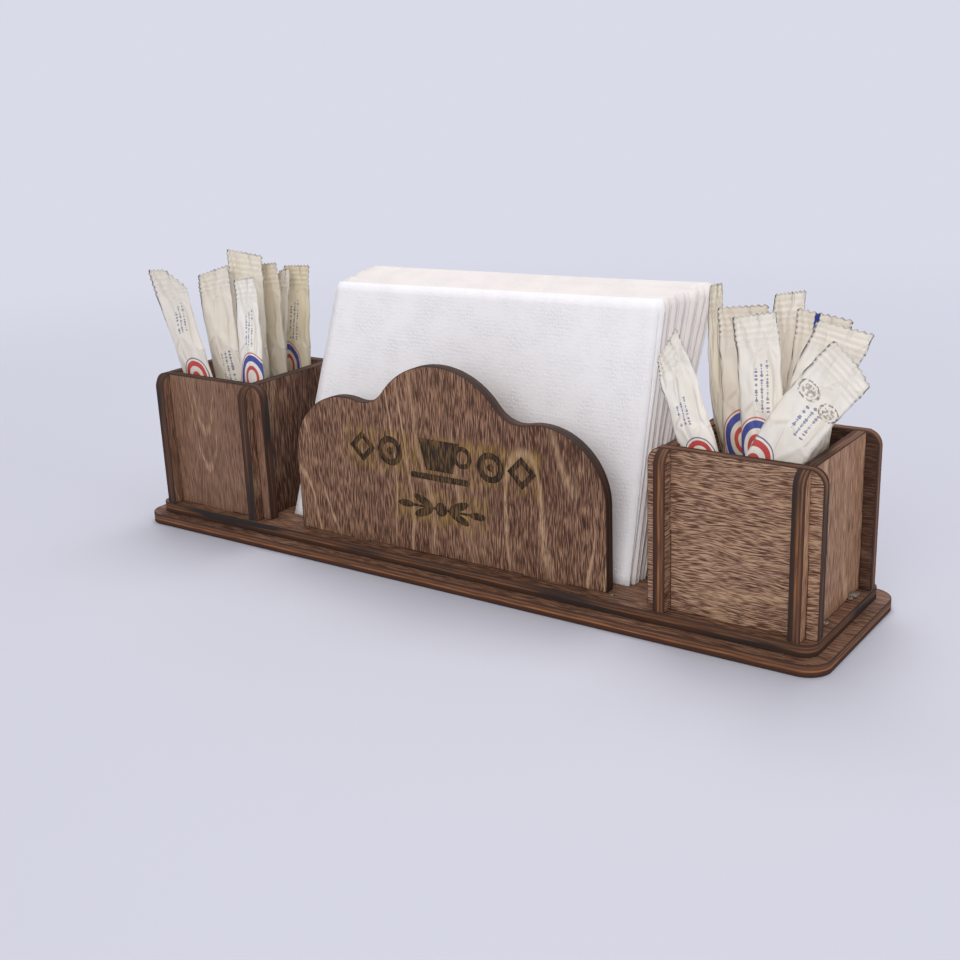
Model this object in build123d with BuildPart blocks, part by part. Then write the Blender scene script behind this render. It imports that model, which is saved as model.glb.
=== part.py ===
"""Table caddy for napkins and sugar sticks, laser-cut from one thickness of plywood.

All sizes in millimetres. +X runs along the caddy to its right end, +Y goes to the back and
+Z is up. The origin is the centre of the base's underside.
"""
import math
import os

from build123d import *

# ---- driving dimensions -------------------------------------------------------------
PLY = 4.0                 # plywood thickness, the same in every wooden piece
BASE_LENGTH = 282.6
BASE_DEPTH = 65.6
BASE_CORNER = 8.0
DECK_LENGTH = 273.8
DECK_DEPTH = 57.0
DECK_CORNER = 5.0
FLOOR_Z = 2.0 * PLY       # top of the deck, where everything stands

PANEL_LENGTH = 56.0       # box panels, the same along X and along Y
PANEL_HEIGHT = 52.0
PANEL_CORNER = 5.0        # rounding of the top corners
LAP_END = 4.0             # length a panel runs past the one it crosses
BOX_CENTRE_X = 108.4      # the two boxes stand at plus and minus this
BOX_HALF = PANEL_LENGTH / 2.0 - LAP_END      # box centre to a panel's outer face
LAP_CENTRE = BOX_HALF - PLY / 2.0            # box centre to the middle of a panel
LAP_GAP = 0.04            # clearance on each side of a slot

TAB_DEPTH = PLY - 0.2     # glue tabs let into the deck
BOX_TAB = 16.0
RAIL_TAB = 18.0
RAIL_TAB_X = 42.0

RAIL_HALF = 65.2          # scalloped rails: half of the length
RAIL_FRONT_Y = -22.6      # outer face of the front rail
RAIL_BACK_Y = 24.0        # outer face of the back rail
DOME_RADIUS = 30.0
DOME_CENTRE_Z = 45.7
SHOULDER_RADIUS = 24.0
SHOULDER_X = 41.2
SHOULDER_Z = 36.6
VALLEY_RADIUS = 12.0
ENGRAVING = 0.35          # depth of the burnt ornament
ORNAMENT_Z = 43.6         # middle of its rings and lozenges
ORNAMENT_RING_X = 21.2
ORNAMENT_LOZENGE_X = 33.6
SPRIG_Z = 25.4            # stem of the sprig below

NAPKIN_WIDTH = 145.4
NAPKIN_HEIGHT = 93.5
NAPKIN_THICKNESS = 1.0
NAPKIN_CORNER = 1.5
NAPKIN_COUNT = 11
NAPKIN_FOOT_FRONT = -14.2     # Y of the first napkin's lower edge
NAPKIN_HEAD_FRONT = 12.6      # Y of the first napkin's upper edge
NAPKIN_STEP = 1.32           # from one napkin to the next, along Y
NAPKIN_X_FRONT = -4.2         # X of the first napkin's middle
NAPKIN_X_STEP = 1.08

STICK_WIDTH = 17.0
STICK_LENGTH = 91.0
STICK_THICKNESS = 4.2
STICK_SEAL = 9.0          # crimped flat end
SEAL_THICKNESS = 0.8
SIDE_THICKNESS = 0.9      # the packet's thickness along its long edges

# Each stick: name, X of its foot, Y of its layer, lean to the right in degrees
RIGHT_STICKS = [
    ("sugar_stick_r1", 98.7, -17.3, 22.3),
    ("sugar_stick_r2", 111.4, -12.5, -15.4),
    ("sugar_stick_r3", 114.2, -7.7, -3.5),
    ("sugar_stick_r4", 104.4, -2.9, 16.0),
    ("sugar_stick_r5", 104.5, 1.9, -3.8),
    ("sugar_stick_r6", 112.0, 6.7, 6.5),
    ("sugar_stick_r7", 107.0, 11.5, 1.5),
    ("sugar_stick_r8", 103.5, 16.5, -6.3),
]
LEFT_STICKS = [
    ("sugar_stick_l1", -98.2, -17.0, 0.8),
    ("sugar_stick_l2", -104.3, -11.8, -16.4),
    ("sugar_stick_l3", -105.0, -6.6, -6.0),
    ("sugar_stick_l4", -106.5, -0.2, 0.5),
    ("sugar_stick_l5", -98.9, 5.2, -2.5),
    ("sugar_stick_l6", -108.0, 10.6, 6.0),
    ("sugar_stick_l7", -99.6, 16.2, 2.2),
]

os.makedirs("parts", exist_ok=True)


# ---- base and deck ------------------------------------------------------------------
with BuildPart() as base_plate:
    with BuildSketch(Plane.XY):
        RectangleRounded(BASE_LENGTH, BASE_DEPTH, BASE_CORNER)
    extrude(amount=PLY)
base_plate.part.label = "base_plate"
export_step(base_plate.part, "parts/base_plate.step")

box_tab_spots = []
for side in (-1.0, 1.0):
    centre_x = side * BOX_CENTRE_X
    for step in (-1.0, 1.0):
        box_tab_spots.append((centre_x, step * LAP_CENTRE, 0.0))
        box_tab_spots.append((centre_x + step * LAP_CENTRE, 0.0, 90.0))

rail_front_mid_y = RAIL_FRONT_Y + PLY / 2.0
rail_back_mid_y = RAIL_BACK_Y - PLY / 2.0
slot_width = PLY + 2.0 * LAP_GAP

with BuildPart() as deck_plate:
    with BuildSketch(Plane.XY.offset(PLY)):
        RectangleRounded(DECK_LENGTH, DECK_DEPTH, DECK_CORNER)
        for spot_x, spot_y, turn in box_tab_spots:
            with Locations(Location((spot_x, spot_y, 0), (0, 0, turn))):
                Rectangle(BOX_TAB + 2.0 * LAP_GAP, slot_width, mode=Mode.SUBTRACT)
        for spot_y in (rail_front_mid_y, rail_back_mid_y):
            with Locations((-RAIL_TAB_X, spot_y), (RAIL_TAB_X, spot_y)):
                Rectangle(RAIL_TAB + 2.0 * LAP_GAP, slot_width, mode=Mode.SUBTRACT)
    extrude(amount=PLY)
deck_plate.part.label = "deck_plate"
export_step(deck_plate.part, "parts/deck_plate.step")


# ---- box panels ---------------------------------------------------------------------
def panel_part(slots_open_down):
    """Build one box panel standing on the XZ plane, its middle on Y = 0.

    Args:
        slots_open_down: True for the front and back panels, whose lap slots open at
            the bottom; False for the side panels, whose slots open at the top.

    Returns:
        The panel as a Part, with its foot at Z = FLOOR_Z.
    """
    half = PANEL_LENGTH / 2.0
    top = FLOOR_Z + PANEL_HEIGHT
    slot_height = PANEL_HEIGHT / 2.0 + LAP_GAP
    with BuildPart() as panel:
        with BuildSketch(Plane.XZ):
            with BuildLine():
                Line((-half, FLOOR_Z), (half, FLOOR_Z))
                Line((half, FLOOR_Z), (half, top - PANEL_CORNER))
                RadiusArc((half, top - PANEL_CORNER), (half - PANEL_CORNER, top), -PANEL_CORNER)
                Line((half - PANEL_CORNER, top), (-half + PANEL_CORNER, top))
                RadiusArc((-half + PANEL_CORNER, top), (-half, top - PANEL_CORNER), -PANEL_CORNER)
                Line((-half, top - PANEL_CORNER), (-half, FLOOR_Z))
            make_face()
            with Locations((0, FLOOR_Z - TAB_DEPTH / 2.0)):
                Rectangle(BOX_TAB, TAB_DEPTH)
            slot_mid = FLOOR_Z + slot_height / 2.0 if slots_open_down else top - slot_height / 2.0
            with Locations((-LAP_CENTRE, slot_mid), (LAP_CENTRE, slot_mid)):
                Rectangle(slot_width, slot_height, mode=Mode.SUBTRACT)
        extrude(amount=PLY / 2.0, both=True)
    return panel.part


across_panel = panel_part(True)
along_panel = panel_part(False)

for box_name, side in (("left_box", -1.0), ("right_box", 1.0)):
    centre_x = side * BOX_CENTRE_X
    for panel_name, offset_y in (("front", -LAP_CENTRE), ("back", LAP_CENTRE)):
        with BuildPart() as placed_panel:
            with Locations((centre_x, offset_y, 0)):
                add(across_panel)
        placed_panel.part.label = f"{box_name}_{panel_name}"
        export_step(placed_panel.part, f"parts/{box_name}_{panel_name}.step")
    for panel_name, offset_x in (("left_side", -LAP_CENTRE), ("right_side", LAP_CENTRE)):
        with BuildPart() as placed_panel:
            with Locations(Location((centre_x + offset_x, 0, 0), (0, 0, 90))):
                add(along_panel)
        placed_panel.part.label = f"{box_name}_{panel_name}"
        export_step(placed_panel.part, f"parts/{box_name}_{panel_name}.step")


# ---- scalloped rails ----------------------------------------------------------------
def touch_point(centre, other, radius):
    """Return the point at the given radius from a centre, towards another centre."""
    distance = math.hypot(other[0] - centre[0], other[1] - centre[1])
    return (
        centre[0] + (other[0] - centre[0]) * radius / distance,
        centre[1] + (other[1] - centre[1]) * radius / distance,
    )


dome_centre = (0.0, DOME_CENTRE_Z)
shoulder_centre = (SHOULDER_X, SHOULDER_Z)
centre_gap = math.hypot(SHOULDER_X, SHOULDER_Z - DOME_CENTRE_Z)
reach_dome = DOME_RADIUS + VALLEY_RADIUS
reach_shoulder = SHOULDER_RADIUS + VALLEY_RADIUS
along = (reach_dome ** 2 - reach_shoulder ** 2 + centre_gap ** 2) / (2.0 * centre_gap)
rise = math.sqrt(reach_dome ** 2 - along ** 2)
unit_x = SHOULDER_X / centre_gap
unit_z = (SHOULDER_Z - DOME_CENTRE_Z) / centre_gap
valley_centre = (along * unit_x - rise * unit_z, DOME_CENTRE_Z + along * unit_z + rise * unit_x)
dome_touch = touch_point(dome_centre, valley_centre, DOME_RADIUS)
shoulder_touch = touch_point(shoulder_centre, valley_centre, SHOULDER_RADIUS)
dome_top = (0.0, DOME_CENTRE_Z + DOME_RADIUS)
valley_low = (valley_centre[0], valley_centre[1] - VALLEY_RADIUS)
shoulder_out = (SHOULDER_X + SHOULDER_RADIUS, SHOULDER_Z)
shoulder_mid = (
    SHOULDER_X + SHOULDER_RADIUS * math.cos(math.radians(60.0)),
    SHOULDER_Z + SHOULDER_RADIUS * math.sin(math.radians(60.0)),
)


def flipped(point):
    """Return the point mirrored to the other half of the rail."""
    return (-point[0], point[1])


def rail_part():
    """Build a scalloped rail on the XZ plane, its middle on Y = 0."""
    with BuildPart() as rail:
        with BuildSketch(Plane.XZ):
            with BuildLine():
                Line((-RAIL_HALF, FLOOR_Z), (RAIL_HALF, FLOOR_Z))
                Line((RAIL_HALF, FLOOR_Z), shoulder_out)
                ThreePointArc(shoulder_out, shoulder_mid, shoulder_touch)
                ThreePointArc(shoulder_touch, valley_low, dome_touch)
                ThreePointArc(dome_touch, dome_top, flipped(dome_touch))
                ThreePointArc(flipped(dome_touch), flipped(valley_low), flipped(shoulder_touch))
                ThreePointArc(flipped(shoulder_touch), flipped(shoulder_mid), flipped(shoulder_out))
                Line(flipped(shoulder_out), (-RAIL_HALF, FLOOR_Z))
            make_face()
            with Locations((-RAIL_TAB_X, FLOOR_Z - TAB_DEPTH / 2.0), (RAIL_TAB_X, FLOOR_Z - TAB_DEPTH / 2.0)):
                Rectangle(RAIL_TAB, TAB_DEPTH)
        extrude(amount=PLY / 2.0, both=True)
    return rail.part


plain_rail = rail_part()

with BuildPart() as rail_front:
    with Locations((0, rail_front_mid_y, 0)):
        add(plain_rail)
    # Burnt ornament: a cup on its saucer between rings and lozenges, and a sprig of leaves below
    with BuildSketch(Plane.XZ.offset(-RAIL_FRONT_Y)):
        with Locations((0, 44.6)):
            Trapezoid(17.0, 11.0, 76, rotation=180)
        with Locations((9.8, 45.4)):
            Circle(3.9)
        with Locations((9.8, 45.4)):
            Circle(2.3, mode=Mode.SUBTRACT)
        with Locations((0, 36.6)):
            SlotOverall(25.0, 2.2)
        for side in (-1.0, 1.0):
            with Locations((side * ORNAMENT_RING_X, ORNAMENT_Z)):
                Circle(5.3)
            with Locations((side * ORNAMENT_RING_X, ORNAMENT_Z)):
                Circle(3.1, mode=Mode.SUBTRACT)
            with Locations((side * ORNAMENT_RING_X, ORNAMENT_Z)):
                Circle(1.3)
            with Locations(Location((side * ORNAMENT_LOZENGE_X, ORNAMENT_Z, 0), (0, 0, 45))):
                Rectangle(8.0, 8.0)
            with Locations(Location((side * ORNAMENT_LOZENGE_X, ORNAMENT_Z, 0), (0, 0, 45))):
                Rectangle(4.4, 4.4, mode=Mode.SUBTRACT)
            with Locations(Location((side * 7.6, SPRIG_Z + 2.1, 0), (0, 0, side * 22.0))):
                Ellipse(4.3, 1.5)
            with Locations(Location((side * 7.6, SPRIG_Z - 2.1, 0), (0, 0, side * -22.0))):
                Ellipse(4.3, 1.5)
            with Locations((side * 15.2, SPRIG_Z)):
                Ellipse(3.4, 1.3)
        with Locations((0, SPRIG_Z)):
            SlotOverall(31.0, 0.9)
        with Locations((0, SPRIG_Z)):
            Circle(2.5)
    extrude(amount=-ENGRAVING, mode=Mode.SUBTRACT)
rail_front.part.label = "rail_front"
export_step(rail_front.part, "parts/rail_front.step")

with BuildPart() as rail_back:
    with Locations((0, rail_back_mid_y, 0)):
        add(plain_rail)
rail_back.part.label = "rail_back"
export_step(rail_back.part, "parts/rail_back.step")


# ---- napkins ------------------------------------------------------------------------
with BuildPart() as napkin_master:
    with BuildSketch(Plane.XZ):
        with Locations((0, NAPKIN_HEIGHT / 2.0)):
            RectangleRounded(NAPKIN_WIDTH, NAPKIN_HEIGHT, NAPKIN_CORNER)
    extrude(amount=NAPKIN_THICKNESS / 2.0, both=True)

lean = math.asin((NAPKIN_HEAD_FRONT - NAPKIN_FOOT_FRONT) / NAPKIN_HEIGHT)
for index in range(NAPKIN_COUNT):
    foot_y = NAPKIN_FOOT_FRONT + index * NAPKIN_STEP
    # the lower edge that faces back is the lowest, and it rests on the deck
    foot_z = FLOOR_Z + NAPKIN_THICKNESS / 2.0 * math.sin(lean)
    middle_x = NAPKIN_X_FRONT + index * NAPKIN_X_STEP
    napkin_spot = Location((middle_x, foot_y, foot_z), (-math.degrees(lean), 0, 0))
    with BuildPart() as placed_napkin:
        with Locations(napkin_spot):
            add(napkin_master.part)
    napkin_name = f"napkin_{index + 1:02d}"
    placed_napkin.part.label = napkin_name
    export_step(placed_napkin.part, f"parts/{napkin_name}.step")


# ---- sugar sticks -------------------------------------------------------------------
with BuildPart() as stick_master:
    # seen from the side: flat crimped ends and a filled middle
    with BuildSketch(Plane.YZ):
        with BuildLine():
            seal = SEAL_THICKNESS / 2.0
            full = STICK_THICKNESS / 2.0
            Polyline((seal, STICK_SEAL), (seal, 0), (-seal, 0), (-seal, STICK_SEAL))
            Spline(
                (-seal, STICK_SEAL),
                (-full, STICK_SEAL + 16.0),
                (-full * 0.93, STICK_LENGTH - STICK_SEAL - 22.0),
                (-seal, STICK_LENGTH - STICK_SEAL),
            )
            Polyline(
                (-seal, STICK_LENGTH - STICK_SEAL),
                (-seal, STICK_LENGTH),
                (seal, STICK_LENGTH),
                (seal, STICK_LENGTH - STICK_SEAL),
            )
            Spline(
                (seal, STICK_LENGTH - STICK_SEAL),
                (full * 0.93, STICK_LENGTH - STICK_SEAL - 22.0),
                (full, STICK_SEAL + 16.0),
                (seal, STICK_SEAL),
            )
        make_face()
    extrude(amount=STICK_WIDTH / 2.0, both=True)
    # seen from the end: a lens
    with BuildSketch(Plane.XY):
        with BuildLine():
            edge_x = STICK_WIDTH / 2.0
            edge_y = SIDE_THICKNESS / 2.0
            bulge = STICK_THICKNESS / 2.0
            Line((edge_x, -edge_y), (edge_x, edge_y))
            ThreePointArc((edge_x, edge_y), (0, bulge), (-edge_x, edge_y))
            Line((-edge_x, edge_y), (-edge_x, -edge_y))
            ThreePointArc((-edge_x, -edge_y), (0, -bulge), (edge_x, -edge_y))
        make_face()
    extrude(amount=STICK_LENGTH, mode=Mode.INTERSECT)

for stick_name, foot_x, layer_y, lean_deg in RIGHT_STICKS + LEFT_STICKS:
    # the lower corner of the leaning stick rests on the deck
    foot_z = FLOOR_Z + STICK_WIDTH / 2.0 * math.sin(math.radians(abs(lean_deg)))
    with BuildPart() as placed_stick:
        with Locations(Location((foot_x, layer_y, foot_z), (0, lean_deg, 0))):
            add(stick_master.part)
    placed_stick.part.label = stick_name
    export_step(placed_stick.part, f"parts/{stick_name}.step")
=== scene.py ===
"""Visible model of a stained plywood table caddy with paper napkins and sugar sticks.

Lengths in the tables below are in millimetres and are turned into metres by MM where a
mesh is made. +X runs along the caddy to its right end, +Y goes to the back, +Z is up.
"""

import logging
import math
import random
from dataclasses import dataclass, field
from enum import Enum
from typing import Iterable, Optional, Sequence, Union

import bmesh
import bpy
from mathutils import Matrix, Vector, noise

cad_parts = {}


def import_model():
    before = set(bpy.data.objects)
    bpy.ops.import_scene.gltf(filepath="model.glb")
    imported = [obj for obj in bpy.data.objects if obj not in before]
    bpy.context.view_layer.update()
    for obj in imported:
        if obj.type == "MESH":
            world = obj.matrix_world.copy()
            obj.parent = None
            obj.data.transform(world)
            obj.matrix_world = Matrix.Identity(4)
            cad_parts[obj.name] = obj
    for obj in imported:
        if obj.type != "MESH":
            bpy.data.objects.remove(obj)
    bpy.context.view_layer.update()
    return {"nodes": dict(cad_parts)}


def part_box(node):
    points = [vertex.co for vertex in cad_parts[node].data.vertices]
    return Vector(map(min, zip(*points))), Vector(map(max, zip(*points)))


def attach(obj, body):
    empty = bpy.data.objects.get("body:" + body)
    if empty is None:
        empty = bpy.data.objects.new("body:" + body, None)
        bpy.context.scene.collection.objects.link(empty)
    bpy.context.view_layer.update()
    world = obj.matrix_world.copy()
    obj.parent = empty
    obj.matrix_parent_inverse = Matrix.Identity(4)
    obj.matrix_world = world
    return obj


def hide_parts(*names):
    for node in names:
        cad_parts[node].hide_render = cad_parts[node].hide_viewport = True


LOG = logging.getLogger("caddy")
MM = 0.001

Socket = bpy.types.NodeSocket
Value = Union[Socket, float, Sequence[float]]
Colour = tuple[float, float, float, float]


def tint(red: int, green: int, blue: int) -> Colour:
    """Turn a display colour into the linear colour that a shader takes.

    Args:
        red: Red share, from 0 to 255.
        green: Green share, from 0 to 255.
        blue: Blue share, from 0 to 255.

    Returns:
        The linear colour with full alpha.
    """
    shares = [c / 255.0 for c in (red, green, blue)]
    linear = [c / 12.92 if c <= 0.04045 else ((c + 0.055) / 1.055) ** 2.4 for c in shares]
    return (linear[0], linear[1], linear[2], 1.0)


class Graph:
    """Places and links shader nodes in one node tree."""

    def __init__(self, tree: bpy.types.NodeTree) -> None:
        """Keep the tree that the nodes go into."""
        self.tree = tree

    def node(self, kind: str, **settings: object) -> bpy.types.Node:
        """Add one node and set its plain properties."""
        made = self.tree.nodes.new(kind)
        for name, value in settings.items():
            setattr(made, name, value)
        return made

    def put(self, socket: Socket, value: Value) -> None:
        """Link a socket into an input, or set the input to a plain value."""
        if isinstance(value, bpy.types.NodeSocket):
            self.tree.links.new(value, socket)
        else:
            socket.default_value = value

    def fill(self, node: bpy.types.Node, **values: Value) -> bpy.types.Node:
        """Fill a node's named inputs, with _ for a space."""
        for name, value in values.items():
            self.put(node.inputs[name.replace("_", " ")], value)
        return node

    def math(self, operation: str, first: Value, second: Value = 0.0, third: Value = 0.0) -> Socket:
        """Add a Math node and return its result."""
        made = self.node("ShaderNodeMath", operation=operation)
        for index, value in enumerate((first, second, third)):
            self.put(made.inputs[index], value)
        return made.outputs[0]

    def product(self, *values: Value) -> Socket:
        """Multiply several values."""
        total = values[0]
        for value in values[1:]:
            total = self.math("MULTIPLY", total, value)
        return total

    def gap(self, first: Value, second: Value) -> Socket:
        """Return how far apart two values are."""
        return self.math("ABSOLUTE", self.math("SUBTRACT", first, second))

    def swing(self, value: Value, share: Value, strength: Value) -> Socket:
        """Move a value up and down by a noise that lies around a half."""
        return self.math("MULTIPLY_ADD", self.math("SUBTRACT", share, 0.5), strength, value)

    def from_centre(self, value: Value, centre: float) -> Socket:
        """Turn a place in metres into a distance in millimetres from a centre."""
        return self.math("MULTIPLY_ADD", value, 1.0 / MM, -centre)

    def reach(self, across: Value, rise: Value) -> Socket:
        """Return the distance of a point from the middle of a plane."""
        squares = self.math("ADD", self.product(across, across), self.product(rise, rise))
        return self.math("SQRT", squares)

    def split(self, vector: Value) -> tuple[Socket, Socket, Socket]:
        """Return the three parts of a vector."""
        made = self.node("ShaderNodeSeparateXYZ")
        self.put(made.inputs[0], vector)
        return made.outputs[0], made.outputs[1], made.outputs[2]

    def join(self, x: Value, y: Value, z: Value) -> Socket:
        """Return a vector made of three parts."""
        made = self.node("ShaderNodeCombineXYZ")
        for index, value in enumerate((x, y, z)):
            self.put(made.inputs[index], value)
        return made.outputs[0]

    def stretch(self, vector: Value, scale: Sequence[float],
                offset: Sequence[float] = (0, 0, 0)) -> Socket:
        """Scale a vector per axis and then move it."""
        made = self.node("ShaderNodeMapping")
        return self.fill(made, Vector=vector, Scale=scale, Location=offset).outputs[0]

    def noise(self, vector: Value, detail: float = 2.0, rough: float = 0.5,
              scale: float = 1.0) -> Socket:
        """Add a Noise Texture and return its value."""
        made = self.node("ShaderNodeTexNoise")
        self.fill(made, Vector=vector, Scale=scale, Detail=detail, Roughness=rough)
        return made.outputs["Fac"]

    def span(self, value: Value, low: float, high: float, to_low: float = 0.0,
             to_high: float = 1.0) -> Socket:
        """Map a range onto another with smooth ends, clamped."""
        made = self.node("ShaderNodeMapRange", interpolation_type="SMOOTHSTEP")
        self.fill(made, Value=value, From_Min=low, From_Max=high, To_Min=to_low, To_Max=to_high)
        return made.outputs[0]

    def ramp(self, share: Value, stops: Sequence[tuple[float, Value]]) -> Socket:
        """Blend colours, plain or linked, along a share."""
        colour: Value = stops[0][1]
        for (low, _), (high, upper) in zip(stops, stops[1:]):
            step = self.node("ShaderNodeMapRange")
            self.fill(step, Value=share, From_Min=low, From_Max=high)
            colour = self.mix(step.outputs[0], colour, upper)
        return colour

    def mix(self, share: Value, first: Value, second: Value, how: str = "MIX") -> Socket:
        """Mix two colours and return the result."""
        made = self.node("ShaderNodeMix", data_type="RGBA", blend_type=how)
        self.put(made.inputs[0], share)
        self.put(made.inputs[6], first)
        self.put(made.inputs[7], second)
        return made.outputs[2]

    def bump(self, height: Value, strength: float, distance: float,
             normal: Optional[Socket] = None) -> Socket:
        """Turn a height into a normal."""
        made = self.node("ShaderNodeBump")
        self.fill(made, Strength=strength, Distance=distance, Height=height)
        if normal is not None:
            self.put(made.inputs["Normal"], normal)
        return made.outputs[0]

    def place(self, group: bpy.types.NodeTree, **values: Value) -> bpy.types.Node:
        """Add a node group and fill its named inputs."""
        return self.fill(self.node("ShaderNodeGroup", node_tree=group), **values)


def new_group(name: str, inputs: Sequence[tuple[str, str]],
              outputs: Sequence[tuple[str, str]]) -> tuple[
                  bpy.types.NodeTree, Graph, bpy.types.Node, bpy.types.Node]:
    """Start a shader node group.

    Args:
        name: The group's name.
        inputs: Name and kind (Float, Vector or Color) of each input.
        outputs: Name and kind of each output.

    Returns:
        The tree, its graph, its input node and its output node.
    """
    tree = bpy.data.node_groups.new(name, "ShaderNodeTree")
    for direction, sockets in (("INPUT", inputs), ("OUTPUT", outputs)):
        for label, kind in sockets:
            tree.interface.new_socket(label, in_out=direction, socket_type="NodeSocket" + kind)
    graph = Graph(tree)
    return tree, graph, graph.node("NodeGroupInput"), graph.node("NodeGroupOutput")


def new_material(name: str) -> tuple[bpy.types.Material, Graph, bpy.types.Node]:
    """Start a material and return it with its graph and its Principled BSDF."""
    made = bpy.data.materials.new(name)
    made.use_nodes = True
    graph = Graph(made.node_tree)
    shader = made.node_tree.nodes["Principled BSDF"]
    return made, graph, shader


class Effects:
    """Shader node groups that several finishes share, each built once."""

    def __init__(self) -> None:
        """Build every shared group."""
        self.grain = self._grain()
        self.plies = self._plies()
        self.rim = self._rim()
        self.creases = self._creases()

    @staticmethod
    def _grain() -> bpy.types.NodeTree:
        """Rotary-cut veneer: short dashes, bands and pale figure, along the board's X."""
        tree, g, given, out = new_group(
            "veneer_grain",
            (("Board", "Vector"), ("Dark", "Color"), ("Middle", "Color"), ("Light", "Color"),
             ("Dash Length", "Float"), ("Dash Width", "Float"), ("Contrast", "Float"),
             ("Figure", "Float"), ("Wander", "Float"), ("Shade", "Float")),
            (("Color", "Color"), ("Roughness", "Float"), ("Height", "Float")))
        along, across, _ = g.split(given.outputs["Board"])
        sway = g.noise(g.stretch(given.outputs["Board"], (45, 90, 0)), 2.0)
        across = g.swing(across, sway, given.outputs["Wander"])
        flat = g.join(along, across, 0.0)
        dash = g.noise(g.join(g.math("DIVIDE", along, given.outputs["Dash Length"]),
                              g.math("DIVIDE", across, given.outputs["Dash Width"]), 0.0), 1.0, 0.6)
        crisp = g.span(dash, 0.36, 0.64, -0.5, 0.5)
        thread = g.noise(g.stretch(flat, (230, 2300, 1)), 2.0, 0.6)
        middle = g.noise(g.stretch(flat, (24, 150, 1), (3, 7, 0)), 2.0)
        broad = g.noise(g.stretch(flat, (9, 20, 1), (11, 5, 0)), 2.0)
        fine = g.math("MULTIPLY", given.outputs["Contrast"], 2.7)
        tone = g.swing(g.math("MULTIPLY", crisp, given.outputs["Contrast"]), thread, fine)
        tone = g.math("ADD", g.swing(g.swing(tone, middle, 0.4), broad, 0.7), 0.5)
        colour = g.ramp(tone, ((0.05, given.outputs["Dark"]), (0.5, given.outputs["Middle"]),
                               (0.95, given.outputs["Light"])))
        # pale lines of figure, which follow the level lines of a slow field
        slow = g.noise(g.stretch(flat, (5, 17, 1), (2, 9, 0)), 1.5)
        lines: Value = 0.0
        for level, width, strength in ((0.5, 0.008, 1.0), (0.56, 0.005, 1.0), (0.43, 0.014, 0.6)):
            lines = g.math("MAXIMUM", lines, g.span(g.gap(slow, level), 0.0, width, strength, 0.0))
        patch = g.span(g.noise(g.stretch(flat, (16, 40, 1), (5, 1, 0)), 2.0), 0.38, 0.52)
        figure = g.product(lines, patch, g.span(thread, 0.3, 0.6, 0.3, 1.0),
                           given.outputs["Figure"])
        colour = g.mix(figure, colour, tint(202, 165, 132))
        pores = g.noise(g.stretch(flat, (120, 1900, 1), (1, 4, 0)), 1.0)
        pores = g.span(pores, 0.62, 0.7, 0.0, 0.7)
        colour = g.mix(pores, colour, tint(50, 31, 24))
        # the Shade input darkens the whole face: partly dark stain, partly painted shade
        colour = g.mix(given.outputs["Shade"], colour, tint(58, 38, 30))
        g.fill(out, Color=colour, Roughness=g.span(tone, 0.0, 1.0, 0.62, 0.5),
               Height=g.math("SUBTRACT", tone, pores))
        return tree

    @staticmethod
    def _plies() -> bpy.types.NodeTree:
        """Laser-cut edge: two burnt outer veneers, a burnt core and thin amber glue lines."""
        tree, g, given, out = new_group(
            "ply_layers", (("Board", "Vector"), ("Amber", "Float"), ("Char", "Float")),
            (("Color", "Color"), ("Roughness", "Float"), ("Height", "Float")))
        board = given.outputs["Board"]
        _, _, through = g.split(board)
        sway = g.noise(g.stretch(board, (60, 60, 0)), 2.0)
        level = g.swing(through, sway, 0.09)
        colour = g.ramp(level, ((-0.5, tint(50, 35, 30)), (-0.4, tint(72, 44, 33)),
                                (-0.12, tint(86, 53, 38)), (-0.03, tint(174, 116, 72)),
                                (0.06, tint(146, 97, 64)), (0.12, tint(104, 68, 48)),
                                (0.3, tint(134, 95, 70)), (0.38, tint(88, 58, 43)),
                                (0.5, tint(68, 46, 37))))
        streak = g.noise(g.stretch(board, (70, 70, 15)), 3.0, 0.6)
        colour = g.mix(g.span(streak, 0.34, 0.62, 0.75, 0.0), colour, tint(62, 40, 31))
        plain = g.math("SUBTRACT", 1.0, given.outputs["Amber"])
        colour = g.mix(plain, colour, tint(66, 46, 38))
        burnt = g.noise(g.stretch(board, (26, 26, 1.2), (4, 2, 1)), 2.0)
        burnt = g.span(burnt, 0.42, 0.62)
        colour = g.mix(g.math("MULTIPLY", burnt, given.outputs["Char"]), colour, tint(47, 40, 38))
        g.fill(out, Color=colour, Roughness=g.span(streak, 0.3, 0.7, 0.85, 0.68), Height=streak)
        return tree

    @staticmethod
    def _rim() -> bpy.types.NodeTree:
        """A mask of 1 at outer and inner edges, falling to 0 over about a millimetre."""
        tree, g, given, out = new_group(
            "edge_rim", (("Board", "Vector"), ("Reach", "Float")), (("Mask", "Float"),))
        soft = g.node("ShaderNodeBevel", samples=8)
        g.fill(soft, Radius=given.outputs["Reach"])
        shape = g.node("ShaderNodeNewGeometry")
        dot = g.node("ShaderNodeVectorMath", operation="DOT_PRODUCT")
        g.put(dot.inputs[0], soft.outputs[0])
        g.put(dot.inputs[1], shape.outputs["True Normal"])
        turn = g.span(dot.outputs["Value"], 0.72, 0.995, 1.0, 0.0)
        ragged = g.noise(g.stretch(given.outputs["Board"], (420, 420, 0)), 2.0)
        g.put(out.inputs["Mask"], g.math("MULTIPLY", turn, g.span(ragged, 0.25, 0.6, 0.45, 1.0)))
        return tree

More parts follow.
